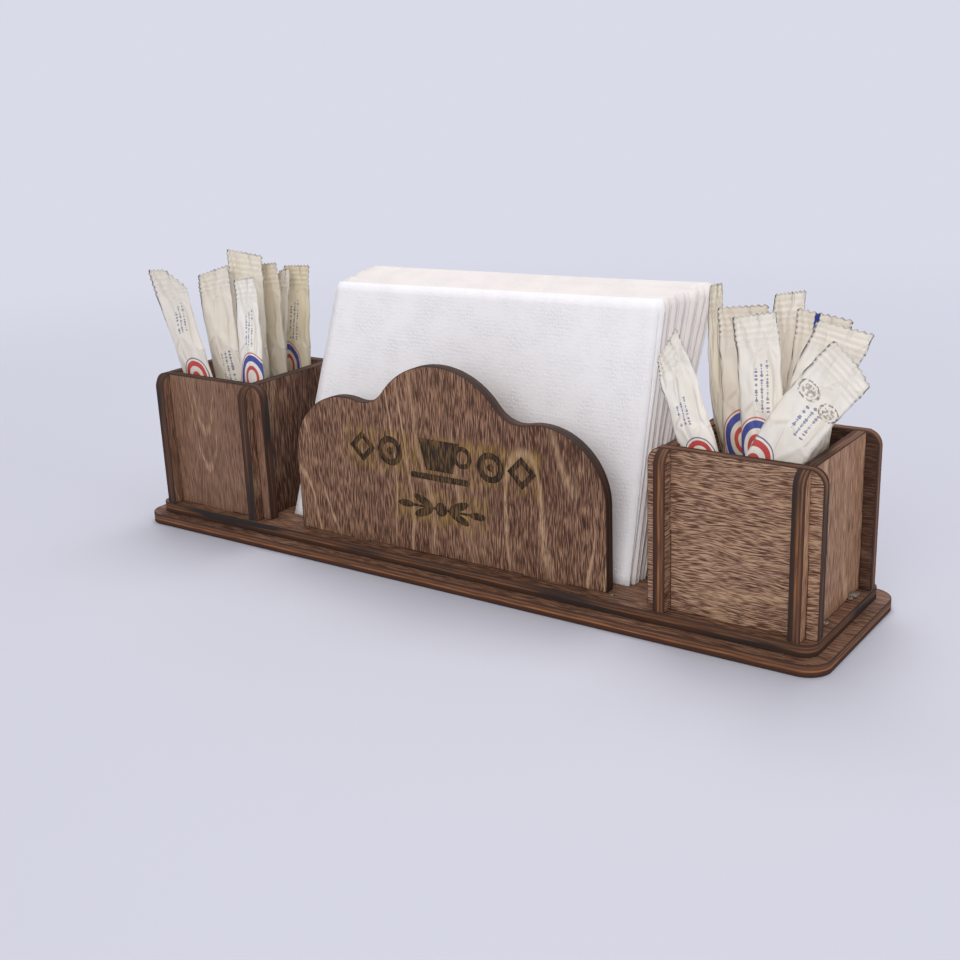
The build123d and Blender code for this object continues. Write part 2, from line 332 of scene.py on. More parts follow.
    @staticmethod
    def _creases() -> bpy.types.NodeTree:
        """Soft folds and fibre of thin paper, as a height, with a mask of the sharpest folds."""
        tree, g, given, out = new_group(
            "paper_creases", (("Place", "Vector"),),
            (("Height", "Float"), ("Fibre", "Float"), ("Fold", "Float")))
        ridge = g.node("ShaderNodeTexVoronoi", feature="DISTANCE_TO_EDGE")
        g.fill(ridge, Vector=g.stretch(given.outputs["Place"], (150, 60, 60)), Scale=1.0)
        folds = g.span(ridge.outputs["Distance"], 0.0, 0.16, 0.0, 1.0)
        soft = g.noise(g.stretch(given.outputs["Place"], (170, 60, 80)), 2.0)
        fibre = g.noise(g.stretch(given.outputs["Place"], (1500, 1500, 1500)), 2.0)
        height = g.math("MULTIPLY_ADD", folds, 0.6, soft)
        line = g.span(ridge.outputs["Distance"], 0.0, 0.035, 1.0, 0.0)
        g.fill(out, Height=g.math("MULTIPLY_ADD", fibre, 0.05, height), Fibre=fibre,
               Fold=g.product(line, g.span(soft, 0.48, 0.6)))
        return tree


@dataclass(frozen=True)
class Veneer:
    """Stained face veneer of one wooden piece.

    Attributes:
        dark: Colour of the dark dashes.
        middle: Colour of the ground.
        light: Colour of the light dashes.
        dash: Length and width of a dash, in millimetres.
        contrast: Strength of the dashes.
        figure: Strength of the pale figure lines.
        wander: How far the dashes sway sideways, in millimetres.
        shade: Share of extra darkening, partly dark stain and partly painted shade.
        halo: Whether smoke from a burnt ornament has yellowed the face round it.
        arch: X and Z of the lowest point of a pale arched figure, in millimetres.
    """

    dark: tuple[int, int, int] = (68, 43, 33)
    middle: tuple[int, int, int] = (110, 78, 61)
    light: tuple[int, int, int] = (162, 125, 100)
    dash: tuple[float, float] = (6.0, 0.38)
    contrast: float = 0.74
    figure: float = 0.75
    wander: float = 1.5
    shade: float = 0.0
    halo: bool = False
    arch: Optional[tuple[float, float]] = None

    def dress(self, name: str, effects: Effects) -> bpy.types.Material:
        """Build the face material.

        Args:
            name: The material's name.
            effects: The shared groups.

        Returns:
            The material, which reads the piece's board attribute.
        """
        made, g, shader = new_material(name)
        board = g.node("ShaderNodeAttribute", attribute_name="board").outputs["Vector"]
        length, width = self.dash
        face = g.place(effects.grain, Board=board, Dark=tint(*self.dark), Middle=tint(*self.middle),
                       Light=tint(*self.light), Dash_Length=length * MM, Dash_Width=width * MM,
                       Contrast=self.contrast, Figure=self.figure, Wander=self.wander * MM * 2.0,
                       Shade=self.shade)
        rim = g.place(effects.rim, Board=board, Reach=1.3 * MM).outputs["Mask"]
        colour = g.mix(g.math("MULTIPLY", rim, 0.8), face.outputs["Color"], tint(52, 37, 32))
        if self.arch:
            colour = g.mix(self._arches(g, *self.arch), colour, tint(184, 148, 117))
        if self.halo:
            colour = g.mix(self._smoke(g, face.outputs["Height"]), colour, tint(156, 126, 62))
        g.fill(shader, Base_Color=colour, Roughness=face.outputs["Roughness"],
               Normal=g.bump(face.outputs["Height"], 0.45, 0.12 * MM), Specular_IOR_Level=0.2)
        return made

    @staticmethod
    def _arches(g: Graph, foot_x: float, foot_z: float) -> Socket:
        """Return the mask of pale nested arches of figure that open upward from their foot."""
        place = g.node("ShaderNodeTexCoord").outputs["Object"]
        x, _, z = g.split(place)
        sway = g.noise(g.stretch(place, (90, 0, 55)), 3.0)
        side = g.swing(g.from_centre(x, foot_x), sway, 7.0)
        rise = g.from_centre(z, foot_z)
        level = g.math("MULTIPLY_ADD", g.product(side, side), -0.6, rise)
        arch = g.span(g.math("ABSOLUTE", g.math("WRAP", level, -7.5, 7.5)), 0.5, 3.4, 1.0, 0.0)
        inside = g.product(g.span(level, -4.0, -1.0), g.span(level, 17.0, 24.0, 1.0, 0.0))
        streaks = g.noise(g.stretch(place, (1500, 0, 130)), 2.0)
        worn = g.product(g.span(streaks, 0.4, 0.66, 0.1, 0.9), g.span(rise, 26.0, 34.0, 1.0, 0.3))
        return g.product(arch, inside, worn)

    @staticmethod
    def _smoke(g: Graph, grain: Socket) -> Socket:
        """Return the mask of the yellowed face round the ornament, streaked by the grain."""
        place = g.node("ShaderNodeTexCoord").outputs["Object"]
        x, _, z = g.split(place)
        total: Value = 0.0
        for middle_z, half_x, half_z in ((43.6, 39.0, 6.2), (25.4, 18.0, 4.6)):
            side = g.span(g.math("ABSOLUTE", x), half_x * MM, (half_x + 4.0) * MM, 1.0, 0.0)
            level = g.span(g.gap(z, middle_z * MM), half_z * MM, (half_z + 3.5) * MM, 1.0, 0.0)
            total = g.math("MAXIMUM", total, g.product(side, level))
        patchy = g.span(g.noise(g.stretch(place, (420, 0, 110)), 2.0), 0.44, 0.66, 0.12, 0.75)
        return g.product(total, patchy, g.span(grain, 0.2, 0.8, 0.35, 1.0))


@dataclass(frozen=True)
class BurntEdge:
    """Laser-cut edge of the plywood.

    Attributes:
        amber: How clearly the plies show, from 0 to 1.
        char: How much of the edge is charred, from 0 to 1.
    """

    amber: float = 1.0
    char: float = 0.75

    def dress(self, name: str, effects: Effects) -> bpy.types.Material:
        """Build the edge material, which reads the board attribute."""
        made, g, shader = new_material(name)
        board = g.node("ShaderNodeAttribute", attribute_name="board").outputs["Vector"]
        edge = g.place(effects.plies, Board=board, Amber=self.amber, Char=self.char)
        g.fill(shader, Base_Color=edge.outputs["Color"], Roughness=edge.outputs["Roughness"],
               Normal=g.bump(edge.outputs["Height"], 0.5, 0.15 * MM), Specular_IOR_Level=0.25)
        return made


@dataclass(frozen=True)
class Scorch:
    """Burnt ornament in the front rail: dark brown with fine raster lines.

    Attributes:
        deep: Colour of the deep burn.
        worn: Colour of its light streaks.
        raster: Pitch of the raster lines, in millimetres.
    """

    deep: tuple[int, int, int] = (62, 41, 19)
    worn: tuple[int, int, int] = (104, 75, 36)
    raster: float = 0.3

    def dress(self, name: str, effects: Effects) -> bpy.types.Material:
        """Build the material of the engraved floor and walls."""
        made, g, shader = new_material(name)
        board = g.node("ShaderNodeAttribute", attribute_name="board").outputs["Vector"]
        face = g.place(effects.grain, Board=board, Dark=tint(28, 19, 11), Middle=tint(*self.deep),
                       Light=tint(*self.worn), Dash_Length=5.0 * MM, Dash_Width=0.7 * MM,
                       Contrast=0.8, Figure=0.0, Wander=1.0 * MM, Shade=0.0)
        along, _, _ = g.split(board)
        raster = g.math("SINE", g.math("MULTIPLY", along, 2.0 * math.pi / (self.raster * MM)))
        height = g.math("MULTIPLY_ADD", raster, 0.3, face.outputs["Height"])
        g.fill(shader, Base_Color=face.outputs["Color"], Normal=g.bump(height, 0.4, 0.1 * MM),
               Roughness=g.span(face.outputs["Roughness"], 0.5, 0.62, 0.75, 0.9))
        return made


@dataclass(frozen=True)
class Tissue:
    """White embossed napkin tissue.

    Attributes:
        colour: The tissue's colour.
        pitch: Distance between the embossed dimples, in millimetres.
        emboss: Strength of the dimples.
    """

    colour: tuple[int, int, int] = (248, 246, 249)
    pitch: float = 1.25
    emboss: float = 0.7

    def dress(self, name: str) -> bpy.types.Material:
        """Build the tissue material, with rows of small embossed dimples."""
        made, g, shader = new_material(name)
        place = g.node("ShaderNodeTexCoord").outputs["Object"]
        x, y, z = g.split(place)
        cells = g.node("ShaderNodeTexVoronoi", feature="F1")
        g.fill(cells, Vector=g.join(g.math("ADD", x, y), 0.0, z), Scale=1.0 / (self.pitch * MM),
               Randomness=0.45)
        dimple = g.span(cells.outputs["Distance"], 0.1, 0.6)
        patchy = g.noise(place, 3.0, 0.6, 95.0)
        fibre = g.noise(place, 3.0, 0.65, 900.0)
        soft = g.noise(place, 2.0, 0.5, 26.0)
        height = g.math("MULTIPLY", dimple, g.span(patchy, 0.35, 0.7, 0.2, 1.0))
        height = g.math("MULTIPLY_ADD", fibre, 1.1, height)
        normal = g.bump(height, self.emboss, 0.14 * MM)
        normal = g.bump(soft, 0.15, 1.6 * MM, normal)
        worn = tint(*(c - 7 for c in self.colour))
        ground = g.mix(g.span(patchy, 0.3, 0.8), tint(*self.colour), worn)
        g.fill(shader, Base_Color=ground, Normal=normal, Roughness=0.92, Specular_IOR_Level=0.12,
               Sheen_Weight=0.08)
        return made


class Print(Enum):
    """The generic marks printed on a sugar stick."""

    BLANK = "blank"
    BLUE_BAND = "blue_band"
    RED_BAND = "red_band"
    BACK = "back"
    TICK = "tick"


@dataclass(frozen=True)
class StickPaper:
    """Ivory waxed paper of a sugar stick, with plain printed marks.

    Attributes:
        marks: Which marks are printed.
        ring_v: Height of the ring's middle above the stick's foot, in millimetres.
        ring_u: Sideways place of the ring's middle.
        bars_v: Heights between which the thin bars of print run.
        bars_u: Sideways place of the bars' middle.
        colour: The paper's colour.
        stamped: Whether two worn brown stamps stand above the bars.
        length: Length of the whole stick, in millimetres.
    """

    marks: Print
    ring_v: float = 50.0
    ring_u: float = 0.0
    bars_v: tuple[float, float] = (64.0, 80.0)
    bars_u: float = 0.0
    colour: tuple[int, int, int] = (245, 239, 230)
    stamped: bool = False
    length: float = 91.0

    def _ring(self, g: Graph, u: Socket, v: Socket, radius: float, width: float) -> Socket:
        """Return the mask of a plain ring.

        Args:
            g: The material's graph.
            u: Sideways place on the paper, in metres.
            v: Height on the paper, in metres.
            radius: Middle radius, in millimetres.
            width: Width of the band, in millimetres.

        Returns:
            A mask of 1 on the ring.
        """
        rise = g.math("MULTIPLY", g.from_centre(v, self.ring_v), 0.8)
        far = g.reach(g.from_centre(u, self.ring_u), rise)
        return g.math("LESS_THAN", g.gap(far, radius), width * 0.5)

    def dress(self, name: str, effects: Effects) -> bpy.types.Material:
        """Build the paper material, which reads the piece's UV map in metres."""
        made, g, shader = new_material(name)
        uv = g.node("ShaderNodeUVMap", uv_map="paper").outputs[0]
        u, v, _ = g.split(uv)
        paper = g.place(effects.creases, Place=uv)
        warm = g.noise(g.stretch(uv, (70, 40, 1)), 2.0)
        colour = g.mix(g.span(warm, 0.35, 0.7), tint(*self.colour),
                       tint(*(max(0, c - d) for c, d in zip(self.colour, (6, 8, 13)))))
        # the sharpest folds are darkened: painted shade in the creases
        colour = g.mix(g.math("MULTIPLY", paper.outputs["Fold"], 0.35), colour, tint(176, 164, 148))
        if self.marks in (Print.BLUE_BAND, Print.RED_BAND):
            blue, red = tint(24, 54, 158), tint(200, 30, 27)
            if self.marks is Print.BLUE_BAND:
                first, second, radius, band = blue, red, 6.6, 2.0
            else:
                first, second, radius, band = red, tint(40, 52, 112), 4.9, 1.7
            for ring, width, ink, strength in ((radius, band, first, 0.92),
                                               (radius - 3.2, band * 0.7, red, 0.9),
                                               (radius + 1.7, 0.4, second, 0.8)):
                mask = self._ring(g, u, v, ring, width)
                colour = g.mix(g.math("MULTIPLY", mask, strength), colour, ink)
        if self.marks in (Print.BLUE_BAND, Print.RED_BAND, Print.BACK):
            colour = g.mix(self._bars(g, u, v), colour, tint(58, 78, 140))
        if self.stamped:
            colour = g.mix(self._stamps(g, u, v), colour, tint(122, 104, 84))
        if self.marks is Print.TICK:
            near = g.math("LESS_THAN", g.math("ABSOLUTE", g.from_centre(u, -2.0)), 0.8)
            high = g.math("GREATER_THAN", v, 85.5 * MM)
            colour = g.mix(g.math("MULTIPLY", near, high), colour, tint(36, 60, 142))
        # a thin dirty line along both cut ends
        half = self.length / 2.0 * MM
        ends = g.span(g.gap(v, half), half - 0.6 * MM, half)
        soot = g.span(g.noise(g.stretch(uv, (420, 420, 1)), 2.0), 0.35, 0.6, 0.25, 0.9)
        colour = g.mix(g.math("MULTIPLY", ends, soot), colour, tint(150, 142, 132))
        g.fill(shader, Base_Color=colour, Normal=g.bump(paper.outputs["Height"], 0.9, 0.7 * MM),
               Roughness=g.span(paper.outputs["Fibre"], 0.3, 0.7, 0.42, 0.58),
               Specular_IOR_Level=0.35)
        return made

    @staticmethod
    def _stamps(g: Graph, u: Socket, v: Socket) -> Socket:
        """Return the mask of two worn oval stamps side by side."""
        total: Value = 0.0
        for middle_u, middle_v, long, wide in ((-3.6, 76.6, 3.9, 2.5), (5.2, 75.6, 3.3, 2.6)):
            far = g.reach(g.math("DIVIDE", g.from_centre(u, middle_u), long),
                          g.math("DIVIDE", g.from_centre(v, middle_v), wide))
            line = g.span(g.gap(far, 0.92), 0.06, 0.16, 1.0, 0.0)
            inner = g.math("MULTIPLY", g.span(far, 0.55, 0.7, 1.0, 0.0), 0.75)
            total = g.math("MAXIMUM", total, g.math("MAXIMUM", line, inner))
        worn = g.noise(g.stretch(g.join(u, v, 0.0), (1100, 1100, 0)), 2.0)
        return g.math("MULTIPLY", total, g.span(worn, 0.42, 0.56, 0.0, 0.85))

    def _bars(self, g: Graph, u: Socket, v: Socket) -> Socket:
        """Return the mask of two or three thin broken bars that run up the stick."""
        low, high = self.bars_v
        pitch = 2.1
        across = g.from_centre(u, self.bars_u)
        up = g.math("DIVIDE", v, MM)
        line = g.math("ROUND", g.math("DIVIDE", across, pitch))
        wobble = g.join(g.math("MULTIPLY", up, 1.25), g.math("MULTIPLY", line, 3.7), 0.0)
        row = g.math("ABSOLUTE", g.math("WRAP", across, -pitch / 2.0, pitch / 2.0))
        thick = g.span(g.noise(wobble, 2.0, 0.7), 0.42, 0.6, 0.0, 0.62)
        length = g.math("MULTIPLY_ADD", g.math("SINE", g.math("MULTIPLY", line, 2.3)), 1.6, high)
        return g.product(
            g.math("LESS_THAN", row, thick), g.math("LESS_THAN", g.math("ABSOLUTE", across), 3.1),
            g.math("GREATER_THAN", up, low), g.math("LESS_THAN", up, length), 0.72)


@dataclass(frozen=True)
class HotGlue:
    """Clear, slightly milky beads of dried glue."""

    def dress(self, name: str) -> bpy.types.Material:
        """Build the glue material."""
        made, g, shader = new_material(name)
        place = g.node("ShaderNodeTexCoord").outputs["Object"]
        cloud = g.noise(place, 2.0, 0.5, 700.0)
        g.fill(shader, Base_Color=g.mix(cloud, tint(170, 148, 132), tint(206, 194, 184)),
               Roughness=g.span(cloud, 0.3, 0.7, 0.12, 0.35), Normal=g.bump(cloud, 0.4, 0.2 * MM),
               Transmission_Weight=0.7, IOR=1.46)
        return made


def add_piece(name: str, bm: bmesh.types.BMesh,
              materials: Sequence[bpy.types.Material]) -> bpy.types.Object:
    """Turn a bmesh into an object at the origin and give it its materials."""
    mesh = bpy.data.meshes.new(name)
    bm.to_mesh(mesh)
    bm.free()
    for material in materials:
        mesh.materials.append(material)
    made = bpy.data.objects.new(name, mesh)
    bpy.context.scene.collection.objects.link(made)
    return made


def count_triangles(piece: bpy.types.Object) -> int:
    """Return how many triangles a piece has."""
    return sum(len(face.vertices) - 2 for face in piece.data.polygons)


@dataclass(frozen=True)
class Board:
    """How one wooden piece lies and which finish it has.

    Attributes:
        node: Name of the CAD node that it stands for.
        grain_axis: Axis that the face grain follows: 0 for X, 1 for Y, 2 for Z.
        through_axis: Axis through the plywood's thickness.
        veneer: Finish of the faces.
        edge: Finish of the cut edges.
        flip: Turns the order of the plies round.
        seed: Moves the grain to another part of the sheet.
    """

    node: str
    grain_axis: int
    through_axis: int
    veneer: Veneer
    edge: BurntEdge
    flip: bool = False
    seed: int = 0


@dataclass
class Woodwork:
    """All twelve plywood pieces, cut from one sheet thickness.

    Attributes:
        effects: The shared shader groups.
        softening: Bevel of every sharp edge.
        ply: Thickness of the plywood, as every length here in millimetres.
        carved_x: The ornament on the front rail lies within this, to left and right.
        carved_z: Heights between which the ornament lies.
        carved_depth: The ornament lies nearer than this to the rail's face.
        boards: What is cut.
    """

    effects: Effects
    softening: float = 0.22
    ply: float = 4.0
    carved_x: float = 41.0
    carved_z: tuple[float, float] = (21.0, 52.0)
    carved_depth: float = 0.6
    boards: tuple[Board, ...] = field(default_factory=lambda: Woodwork.list_boards())

    @staticmethod
    def list_boards() -> tuple[Board, ...]:
        """Name every board with its grain and stain."""
        plate = Veneer(middle=(116, 84, 66), light=(150, 113, 90), dash=(9.0, 0.5), contrast=0.7,
                       figure=0.2)
        wavy = Veneer(dark=(88, 58, 44), middle=(138, 105, 85), light=(182, 148, 122),
                      dash=(4.8, 0.38), contrast=0.85, figure=0.5, wander=2.0)
        pale = Veneer(dark=(120, 84, 62), middle=(158, 119, 94), light=(190, 151, 122),
                      dash=(6.5, 0.45), contrast=0.6, figure=0.9)
        streaked = Veneer(dark=(88, 59, 46), middle=(124, 92, 74), light=(156, 121, 98),
                          dash=(10.0, 0.55), contrast=0.42, figure=0.5)
        arched = Veneer(dark=(88, 59, 46), middle=(124, 92, 74), light=(152, 118, 96),
                        dash=(9.0, 0.55), contrast=0.42, figure=0.0, arch=(-111.5, 24.0))
        rail_edge, left_edge = BurntEdge(0.2, 0.9), BurntEdge(0.35, 1.0)
        deck_edge, base_edge = BurntEdge(0.6, 1.0), BurntEdge(1.0, 0.1)
        return (
            Board("base_plate", 0, 2, plate, base_edge, seed=1),
            Board("deck_plate", 0, 2, plate, deck_edge, seed=2),
            Board("rail_front", 2, 1, Veneer(halo=True), rail_edge, seed=3),
            Board("rail_back", 2, 1, Veneer(), rail_edge, flip=True, seed=4),
            Board("left_box_front", 2, 1, arched, left_edge, seed=5),
            # shade darkens both box backs and the left box's right side: partly stain, partly
            # painted shade inside the boxes and beside the napkins
            Board("left_box_back", 2, 1, Veneer(shade=0.45), left_edge, flip=True, seed=6),
            Board("left_box_left_side", 2, 0, streaked, left_edge, seed=7),
            Board("left_box_right_side", 2, 0, Veneer(shade=0.15, dash=(9.0, 0.5)), left_edge,
                  seed=8),
            Board("right_box_front", 0, 1, wavy, BurntEdge(), flip=True, seed=9),
            Board("right_box_back", 0, 1, Veneer(shade=0.7), BurntEdge(), seed=10),
            Board("right_box_left_side", 1, 0, wavy, BurntEdge(), seed=11),
            Board("right_box_right_side", 2, 0, pale, BurntEdge(), seed=12),
        )

    def build(self, nodes: dict[str, bpy.types.Object]) -> Iterable[bpy.types.Object]:
        """Build every board round its CAD node.

        Args:
            nodes: The CAD nodes by name.

        Returns:
            The pieces, one by one.
        """
        finishes = dict.fromkeys(board.edge for board in self.boards)
        edges = {finish: finish.dress(f"burnt_edge_{number}", self.effects)
                 for number, finish in enumerate(finishes)}
        scorch = Scorch().dress("scorched_ornament", self.effects)
        for board in self.boards:
            face = board.veneer.dress("veneer_" + board.node, self.effects)
            materials = [face, edges[board.edge], scorch][:3 if board.node == "rail_front" else 2]
            piece = self._cut(board, nodes[board.node], materials)
            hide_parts(board.node)
            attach(piece, "caddy")
            yield piece

    def _cut(self, board: Board, node: bpy.types.Object,
             materials: Sequence[bpy.types.Material]) -> bpy.types.Object:
        """Copy a CAD board, merge it, soften its edges and mark its faces."""
        low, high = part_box(board.node)
        bm = bmesh.new()
        bm.from_mesh(node.data)
        bmesh.ops.remove_doubles(bm, verts=bm.verts, dist=0.002 * MM)
        bmesh.ops.dissolve_limit(bm, angle_limit=math.radians(0.5), verts=bm.verts, edges=bm.edges)
        face = low.y + self.carved_depth * MM
        sharp = []
        for edge in bm.edges:
            carved = board.node == "rail_front" and all(
                vert.co.y < face and self._is_in_ornament(vert.co) for vert in edge.verts)
            if not carved and edge.is_manifold and edge.calc_face_angle(0.0) > math.radians(40):
                sharp.append(edge)
        bmesh.ops.bevel(bm, geom=sharp, offset=self.softening * MM, offset_type="OFFSET",
                        segments=2, profile=0.5, affect="EDGES", material=-1, clamp_overlap=True)
        self._mark(bm, board, low, high)
        piece = add_piece("ply_" + board.node, bm, materials)
        self._measure_board(piece, board, low, high)
        return piece

    def _is_in_ornament(self, point: Vector) -> bool:
        """Tell whether a point lies within the outline of the front rail's ornament."""
        low, high = self.carved_z
        return abs(point.x) < self.carved_x * MM and low * MM < point.z < high * MM

    def _mark(self, bm: bmesh.types.BMesh, board: Board, low: Vector, high: Vector) -> None:
        """Give faces, edges and ornament their material slots and shading."""
        axis = board.through_axis
        for face in bm.faces:
            face.normal_update()
            flat = abs(face.normal[axis]) > 0.98
            middle = face.calc_center_median()
            outer = min(abs(middle[axis] - low[axis]), abs(middle[axis] - high[axis])) < 0.02 * MM
            if axis == 2:
                outer = flat
            face.material_index = 0 if flat and outer else 1
            face.smooth = not (flat and outer)
            near = middle.y < low.y + 0.5 * MM and self._is_in_ornament(middle)
            if board.node == "rail_front" and near and not (flat and outer):
                face.material_index = 2
                face.smooth = False
        for edge in bm.edges:
            edge.smooth = edge.calc_face_angle(0.0) < math.radians(52)

    def _measure_board(self, piece: bpy.types.Object, board: Board, low: Vector,
                       high: Vector) -> None:
        """Store along, across and through of the sheet at each point, as the board attribute."""
        axes = [board.grain_axis, 3 - board.grain_axis - board.through_axis, board.through_axis]
        middle = (low + high) / 2.0
        if board.through_axis == 2:
            middle.z = high.z - self.ply * MM / 2.0
        mesh = piece.data
        place = mesh.attributes.new("board", "FLOAT_VECTOR", "POINT")
        for index, vert in enumerate(mesh.vertices):
            through = (vert.co[axes[2]] - middle[axes[2]]) / (self.ply * MM)
            place.data[index].vector = (
                vert.co[axes[0]] + board.seed * 0.731,
                vert.co[axes[1]] + board.seed * 0.377,
                -through if board.flip else through,
            )


@dataclass
class NapkinStack:
    """Eleven folded tissue napkins that lean back between the rails.

    Attributes:
        count: How many napkins there are.
        leaves: Paper layers that show at each napkin's open edges.
        leaf: Thickness of one layer.
        foot_y: Y of the front napkin's foot.
        step: Distance from one napkin to the next.
        thickness: Thickness of one napkin.
        rise_per_depth: How far a napkin leans back for each unit of height.
        floor_z: Height of the deck that they stand on.
        corner: Radius of the upper corners.
        flat: Flat size of one visible layer, in metres; not used.
        seed: Seed of the small differences between the napkins.
    """

    count: int = 11
    leaves: int = 2
    leaf: float = 0.34
    foot_y: float = -14.2
    step: float = 1.32
    thickness: float = 1.0
    rise_per_depth: float = 0.29933
    floor_z: float = 8.0
    corner: float = 1.1
    flat: tuple[float, float] = (0.141, 0.092)
    seed: int = 5

    def build(self) -> Iterable[bpy.types.Object]:
        """Build each napkin as its own piece."""
        outer = Tissue().dress("tissue")
        # the napkins behind the front one take a darker, warmer tissue colour: painted shade
        # between the stacked layers
        inner = Tissue(colour=(236, 230, 229), emboss=0.35).dress("tissue_inner_painted_shade")
        dice = random.Random(self.seed)
        for index in range(self.count):
            name = f"napkin_{index + 1:02d}"
            bm = bmesh.new()
            for layer in range(self.leaves):
                self._leaf(bm, index, layer, dice)
            bmesh.ops.recalc_face_normals(bm, faces=bm.faces)
            for face in bm.faces:
                face.smooth = True
            piece = add_piece("tissue_" + name, bm, [inner if index else outer])
            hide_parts(name)
            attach(piece, name + "_body")
            yield piece

    def _leaf(self, bm: bmesh.types.BMesh, index: int, layer: int, dice: random.Random) -> None:
        """Add one paper layer: a fine grid, shaped and given its thickness."""
        share = (index + layer / self.leaves) / self.count
        jitter = [dice.uniform(-0.5, 0.5) for _ in range(6)]
        left_low, left_high = -77.4 + 2.0 * share, -70.2 + 5.0 * share + jitter[0]
        right_low = 68.6 + share + jitter[1] * 2.4
        right_high = 65.8 + 13.0 * share + jitter[2] * 2.4
        top_left = 93.7 + 4.4 * share + jitter[3] * 0.9
        top_right = 96.4 + 4.2 * share + jitter[4] * 1.2
        if index == 0 and layer == 0:
            left_high, right_low, right_high, top_left, top_right = -70.0, 68.7, 65.7, 93.7, 96.3
        gap = (self.thickness - self.leaf) / max(1, self.leaves - 1)
        offset = -self.thickness / 2.0 + self.leaf / 2.0 + layer * gap
        verts = bmesh.ops.create_grid(bm, x_segments=44, y_segments=30, size=0.5)["verts"]
        for vert in verts:
            across, up = vert.co.x + 0.5, vert.co.y + 0.5
            tall = top_left + (top_right - top_left) * across - self.floor_z
            inset = self._round(tall * (1.0 - up))
            left = left_low + (left_high - left_low) * up + inset
            right = right_low + (right_high - right_low) * up - inset
            x = left + (right - left) * across
            z = self.floor_z + 0.15 + tall * up
            # the shared ripple follows x alone, so a lifted napkin still lies clear of the others
            ripple = noise.noise(Vector((x * 0.025, 0.3, 0.7))) * 0.6
            own = noise.noise(Vector((x * 0.06, z * 0.06, index * 1.3 + layer * 0.37))) * 0.06
            frill = max(0.0, across - 0.9) * 10.0
            own += frill * noise.noise(Vector((z * 0.05, index * 2.1, layer * 1.7))) * 0.08
            lean = (z - self.floor_z) * self.rise_per_depth
            y = self.foot_y + index * self.step + lean + offset + ripple + own
            vert.co = Vector((x, y, z)) * MM
        # listed in the grid's order, so that the mesh comes out the same each run
        faces = list(dict.fromkeys(face for vert in verts for face in vert.link_faces))
        bmesh.ops.recalc_face_normals(bm, faces=faces)
        bmesh.ops.solidify(bm, geom=faces, thickness=self.leaf * MM)

    def _round(self, down: float) -> float:
        """Return how far a side lies in at a distance below the top, for the rounded corner."""
        if down >= self.corner:
            return 0.0
        return self.corner - math.sqrt(max(0.0, self.corner ** 2 - (self.corner - down) ** 2))


@dataclass(frozen=True)
class Stick:
    """One sugar stick: its place in the box and how it bends above the rim.

    Attributes:
        name: Name of its CAD node.
        foot: X of its foot.
        layer: Y of its layer.
        lean: Lean to the right in the box, in degrees.
        head: X and Z of the middle of its upper end.
        head_width: Width across its upper end.
        head_slope: Slope of its upper end, in degrees, positive where it rises to the right.
        paper: Its print.
        roll: How far the upper part turns about the stick's length, in degrees.
        curl: How far the upper seal bends forward, in millimetres.
        waist: Width where the stick leaves the box.
        rim_shift: How far it has slipped sideways there.
        tip: How far it has tipped back there.
        cut: How much lower its upper right corner lies than the rest of the end.
    """

    name: str
    foot: float
    layer: float
    lean: float
    head: tuple[float, float]
    head_width: float
    head_slope: float
    paper: StickPaper
    roll: float = 0.0
    curl: float = 0.0
    waist: float = 16.4
    rim_shift: float = 0.0
    tip: float = 0.0
    cut: float = 0.0


